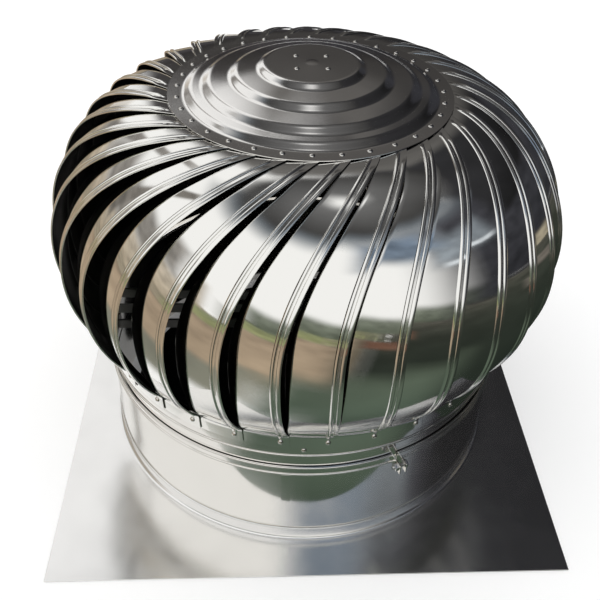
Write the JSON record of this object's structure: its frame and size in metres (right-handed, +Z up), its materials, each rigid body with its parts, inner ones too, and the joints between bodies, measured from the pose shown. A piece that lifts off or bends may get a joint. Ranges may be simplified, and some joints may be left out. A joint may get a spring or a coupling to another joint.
{
  "type": "roof turbine ventilator",
  "caption": "Wind-driven roof ventilator: a globe rotor of swept, lapped vanes on a stepped cap turns on bearings over a round neck with a clamp band and a square base plate.",
  "frame": {"origin": "on the shaft's axis, at the underside of the base plate", "axes": "+Z up the shaft, X and Y along the sides of the square base plate"},
  "size_m": [0.72, 0.72, 0.592],
  "materials": {
    "polished_stainless": "mirror-polished stainless steel sheet",
    "bracket_steel": "flat stainless steel bar, mill finish",
    "bright_fasteners": "bright turned stainless steel",
    "rivet_steel": "domed stainless steel rivets",
    "turned_steel": "turned stainless steel rod",
    "bearing_steel": "ground bearing steel",
    "cast_aluminium": "machined aluminium housing"
  },
  "bodies": {
    "stator": {"base_plate": "polished_stainless", "neck_tube": "polished_stainless", "upper_collar": "polished_stainless", "clamp_band": "polished_stainless", "clamp_bolt": "bright_fasteners", "clamp_nut": "bright_fasteners", "lower_bracket": "bracket_steel", "upper_bracket": "bracket_steel", "shaft": "turned_steel", "shaft_nut": "bright_fasteners", "shaft_washer": "bright_fasteners", "shaft_collar": "bright_fasteners", "top_circlip": "turned_steel", "top_bearing_inner": "bearing_steel", "lower_bearing_inner": "bearing_steel"},
    "rotor": {"cap": "polished_stainless", "hub_rivets": "bright_fasteners", "top_housing": "cast_aluminium", "top_bearing_outer": "bearing_steel", "lower_bearing_outer": "bearing_steel", "lower_housing": "cast_aluminium", "rotor_bracket": "bracket_steel", "bracket_rivets": "rivet_steel", "rotor_ring": "polished_stainless", "ring_rivets": "rivet_steel", "backing_ring": "bracket_steel", "cap_rivets": "rivet_steel", "vane_01": "polished_stainless", "vane_02": "polished_stainless", "vane_03": "polished_stainless", "vane_04": "polished_stainless", "vane_05": "polished_stainless", "vane_06": "polished_stainless", "vane_07": "polished_stainless", "vane_08": "polished_stainless", "vane_09": "polished_stainless", "vane_10": "polished_stainless", "vane_11": "polished_stainless", "vane_12": "polished_stainless", "vane_13": "polished_stainless", "vane_14": "polished_stainless", "vane_15": "polished_stainless", "vane_16": "polished_stainless", "vane_17": "polished_stainless", "vane_18": "polished_stainless", "vane_19": "polished_stainless", "vane_20": "polished_stainless", "vane_21": "polished_stainless", "vane_22": "polished_stainless", "vane_23": "polished_stainless", "vane_24": "polished_stainless", "vane_25": "polished_stainless", "vane_26": "polished_stainless", "vane_27": "polished_stainless", "vane_28": "polished_stainless", "vane_29": "polished_stainless", "vane_30": "polished_stainless", "vane_31": "polished_stainless", "vane_32": "polished_stainless"}
  },
  "joints": [
    {"name": "rotor_spin", "type": "hinge", "parent": "stator", "child": "rotor", "pos_m": [0, 0, 0.3], "axis": [0, 0, 1], "continuous": true}
  ]
}
